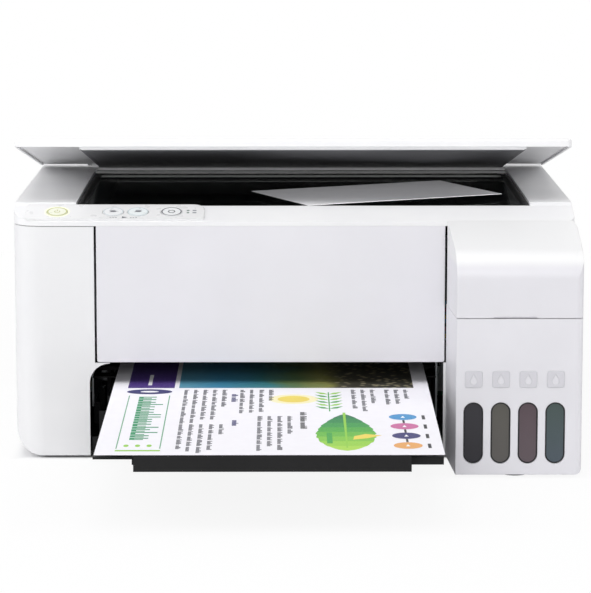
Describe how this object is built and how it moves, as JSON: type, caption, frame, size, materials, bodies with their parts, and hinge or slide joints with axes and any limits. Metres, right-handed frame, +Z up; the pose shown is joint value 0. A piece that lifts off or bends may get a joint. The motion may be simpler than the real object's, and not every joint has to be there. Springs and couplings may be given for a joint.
{
  "type": "inkjet printer",
  "caption": "Ink-tank inkjet printer with a flatbed scanner, opening lid, refillable front tanks, rear paper feeder and sliding output tray.",
  "frame": {"origin": "on the floor under the middle of the printer's bounding box, trays out and sheet in place", "axes": "+X to the printer's right as seen from the front, +Y to its back, +Z up"},
  "size_m": [0.375, 0.498, 0.2124],
  "materials": {
    "white_plastic": "white ABS, fine grain",
    "panel_plastic": "white ABS front panel",
    "dark_plastic": "black ABS",
    "grey_plastic": "dark grey ABS",
    "pod_plastic": "gloss white cover plate",
    "gear_plastic": "natural acetal",
    "brass": "pressed brass pinion",
    "steel": "zinc plated sheet steel",
    "roller": "ceramic coated roller",
    "rubber": "rubber",
    "felt": "felt pad",
    "board": "green circuit board",
    "glass": "float glass over a dark bed",
    "foam": "white pad on foam",
    "paper": "printed paper",
    "tank_black": "clear tank of black ink",
    "tank_yellow": "clear tank of yellow ink",
    "tank_magenta": "clear tank of magenta ink",
    "tank_cyan": "clear tank of cyan ink",
    "cap_black": "black cap",
    "cap_yellow": "yellow cap",
    "cap_magenta": "magenta cap",
    "cap_cyan": "cyan cap",
    "tube": "clear hose",
    "lens": "light lens",
    "motor": "motor can"
  },
  "bodies": {
    "base": {"base_tray": "dark_plastic", "main_housing": "white_plastic", "rear_feeder": "grey_plastic", "rubber_feet": "rubber", "housing_screws": "steel", "main_frame": "steel", "carriage_belt": "rubber", "drive_motors": "motor", "platen": "dark_plastic", "waste_ink_pad": "felt", "power_supply": "motor", "main_board": "board", "ac_inlet": "dark_plastic", "tank_housing": "white_plastic", "tank_black": "tank_black", "tank_yellow": "tank_yellow", "tank_magenta": "tank_magenta", "tank_cyan": "tank_cyan", "ink_tubes": "tube"},
    "motor_pulley": {"motor_pulley": "gear_plastic"},
    "idler_pulley": {"idler_pulley": "gear_plastic"},
    "transfer_gear": {"transfer_gear": "gear_plastic"},
    "feed_pinion": {"feed_pinion": "brass"},
    "feed_roller": {"feed_roller": "roller"},
    "pinch_rollers": {"pinch_rollers": "rubber"},
    "exit_roller": {"exit_roller": "dark_plastic"},
    "star_wheels": {"star_wheels": "steel"},
    "pickup_roller": {"pickup_roller": "rubber"},
    "hopper": {"hopper_plate": "grey_plastic"},
    "edge_guide": {"edge_guide": "grey_plastic"},
    "feeder_guard": {"feeder_guard": "white_plastic"},
    "paper_support": {"paper_support": "white_plastic"},
    "cap_black": {"cap_black": "cap_black"},
    "cap_yellow": {"cap_yellow": "cap_yellow"},
    "cap_magenta": {"cap_magenta": "cap_magenta"},
    "cap_cyan": {"cap_cyan": "cap_cyan"},
    "tank_cover": {"tank_cover": "white_plastic"},
    "cap_station": {"cap_station": "grey_plastic"},
    "carriage": {"print_carriage": "grey_plastic", "print_head": "grey_plastic"},
    "scanner": {"scanner_base": "grey_plastic", "scanner_top": "white_plastic", "front_panel": "panel_plastic", "platen_glass": "glass", "control_panel": "pod_plastic", "indicator_lights": "lens", "scan_drive": "steel", "original_print": "paper"},
    "power_button": {"power_button": "pod_plastic"},
    "mono_button": {"mono_button": "pod_plastic"},
    "colour_button": {"colour_button": "pod_plastic"},
    "stop_button": {"stop_button": "pod_plastic"},
    "scan_carriage": {"scan_carriage": "dark_plastic"},
    "hinge_posts": {"hinge_posts": "white_plastic"},
    "lid": {"lid_shell": "white_plastic", "lid_pad": "foam"},
    "output_tray": {"output_tray": "dark_plastic"},
    "tray_extension": {"tray_extension": "dark_plastic"},
    "sheet": {"printed_sheet": "paper"}
  },
  "joints": [
    {"name": "scanner_lift", "type": "hinge", "parent": "base", "child": "scanner", "pos_m": [0, 0.21825, 0.158], "axis": [-1, 0, 0], "range_deg": [0, 30]},
    {"name": "lid_rise", "type": "slide", "parent": "scanner", "child": "hinge_posts", "axis": [0, 0, 1], "range_m": [0, 0.01]},
    {"name": "lid_hinge", "type": "hinge", "parent": "hinge_posts", "child": "lid", "pos_m": [0, 0.21295, 0.1738], "axis": [1, 0, 0], "range_deg": [-70, 9.5]},
    {"name": "power_button_press", "type": "slide", "parent": "scanner", "child": "power_button", "axis": [0, 0.2873, -0.9578], "range_m": [0, 0.0008], "stiffness_N_per_m": 600},
    {"name": "mono_button_press", "type": "slide", "parent": "scanner", "child": "mono_button", "axis": [0, 0.2873, -0.9578], "range_m": [0, 0.0008], "stiffness_N_per_m": 600},
    {"name": "colour_button_press", "type": "slide", "parent": "scanner", "child": "colour_button", "axis": [0, 0.2873, -0.9578], "range_m": [0, 0.0008], "stiffness_N_per_m": 600},
    {"name": "stop_button_press", "type": "slide", "parent": "scanner", "child": "stop_button", "axis": [0, 0.2873, -0.9578], "range_m": [0, 0.0008], "stiffness_N_per_m": 600},
    {"name": "scan_travel", "type": "slide", "parent": "scanner", "child": "scan_carriage", "axis": [1, 0, 0], "range_m": [0, 0.28]},
    {"name": "tank_cover_hinge", "type": "hinge", "parent": "base", "child": "tank_cover", "pos_m": [0, -0.04015, 0.1585], "axis": [-1, 0, 0], "range_deg": [0, 95]},
    {"name": "cap_black_hinge", "type": "hinge", "parent": "base", "child": "cap_black", "pos_m": [0, -0.04475, 0.1153], "axis": [-1, 0, 0], "range_deg": [0, 90]},
    {"name": "cap_yellow_hinge", "type": "hinge", "parent": "base", "child": "cap_yellow", "pos_m": [0, -0.04475, 0.1153], "axis": [-1, 0, 0], "range_deg": [0, 90]},
    {"name": "cap_magenta_hinge", "type": "hinge", "parent": "base", "child": "cap_magenta", "pos_m": [0, -0.04475, 0.1153], "axis": [-1, 0, 0], "range_deg": [0, 90]},
    {"name": "cap_cyan_hinge", "type": "hinge", "parent": "base", "child": "cap_cyan", "pos_m": [0, -0.04475, 0.1153], "axis": [-1, 0, 0], "range_deg": [0, 90]},
    {"name": "carriage_travel", "type": "slide", "parent": "base", "child": "carriage", "axis": [-1, 0, 0], "range_m": [0, 0.235], "deforming": ["ink_tubes"]},
    {"name": "motor_pulley_spin", "type": "hinge", "parent": "base", "child": "motor_pulley", "pos_m": [0.166, 0.13675, 0.1], "axis": [0, 1, 0], "continuous": true},
    {"name": "idler_pulley_spin", "type": "hinge", "parent": "base", "child": "idler_pulley", "pos_m": [-0.13, 0.13675, 0.1], "axis": [0, 1, 0], "continuous": true},
    {"name": "feed_spin", "type": "hinge", "parent": "base", "child": "feed_roller", "pos_m": [0, 0.13125, 0.0495], "axis": [1, 0, 0], "continuous": true},
    {"name": "transfer_spin", "type": "hinge", "parent": "base", "child": "transfer_gear", "pos_m": [0, 0.09125, 0.0495], "axis": [1, 0, 0], "continuous": true},
    {"name": "exit_spin", "type": "hinge", "parent": "base", "child": "exit_roller", "pos_m": [0, 0.05525, 0.0495], "axis": [1, 0, 0], "continuous": true},
    {"name": "pinion_spin", "type": "hinge", "parent": "base", "child": "feed_pinion", "pos_m": [0, 0.13125, 0.0275], "axis": [1, 0, 0], "continuous": true},
    {"name": "pinch_spin", "type": "hinge", "parent": "base", "child": "pinch_rollers", "pos_m": [0, 0.13125, 0.0614], "axis": [1, 0, 0], "continuous": true},
    {"name": "star_spin", "type": "hinge", "parent": "base", "child": "star_wheels", "pos_m": [0, 0.05525, 0.06], "axis": [1, 0, 0], "continuous": true},
    {"name": "pickup_spin", "type": "hinge", "parent": "base", "child": "pickup_roller", "pos_m": [0, 0.18525, 0.075], "axis": [1, 0, 0], "continuous": true},
    {"name": "hopper_tilt", "type": "hinge", "parent": "base", "child": "hopper", "pos_m": [0, 0.23665, 0.155], "axis": [-1, 0, 0], "range_deg": [0, 2.7]},
    {"name": "edge_guide_slide", "type": "slide", "parent": "hopper", "child": "edge_guide", "axis": [1, 0, 0], "range_m": [0, 0.1]},
    {"name": "feeder_guard_hinge", "type": "hinge", "parent": "base", "child": "feeder_guard", "pos_m": [0, 0.23125, 0.1671], "axis": [-1, 0, 0], "range_deg": [-100, 0]},
    {"name": "paper_support_slide", "type": "slide", "parent": "base", "child": "paper_support", "axis": [0, 0, -1], "range_m": [-0.07, 0]},
    {"name": "cap_station_drop", "type": "slide", "parent": "base", "child": "cap_station", "axis": [0, 0, -1], "range_m": [0, 0.004]},
    {"name": "output_tray_slide", "type": "slide", "parent": "base", "child": "output_tray", "axis": [0, 1, 0], "range_m": [0, 0.186]},
    {"name": "tray_extension_slide", "type": "slide", "parent": "output_tray", "child": "tray_extension", "axis": [0, 1, 0], "range_m": [-0.06, 0.015]},
    {"name": "sheet_feed", "type": "slide", "parent": "base", "child": "sheet", "axis": [0, -0.9998, -0.0175], "range_m": [0, 0.12]}
  ],
  "couplings": [
    {"joint": "motor_pulley_spin", "follows": "carriage_travel", "rad_per_m": 166.67},
    {"joint": "idler_pulley_spin", "follows": "carriage_travel", "rad_per_m": 166.67},
    {"joint": "transfer_spin", "follows": "feed_spin", "ratio": -0.66667},
    {"joint": "exit_spin", "follows": "feed_spin", "ratio": 1.3333},
    {"joint": "pinion_spin", "follows": "feed_spin", "ratio": -2.6667},
    {"joint": "pinch_spin", "follows": "feed_spin", "ratio": -1.9},
    {"joint": "star_spin", "follows": "feed_spin", "ratio": -1.6889}
  ]
}
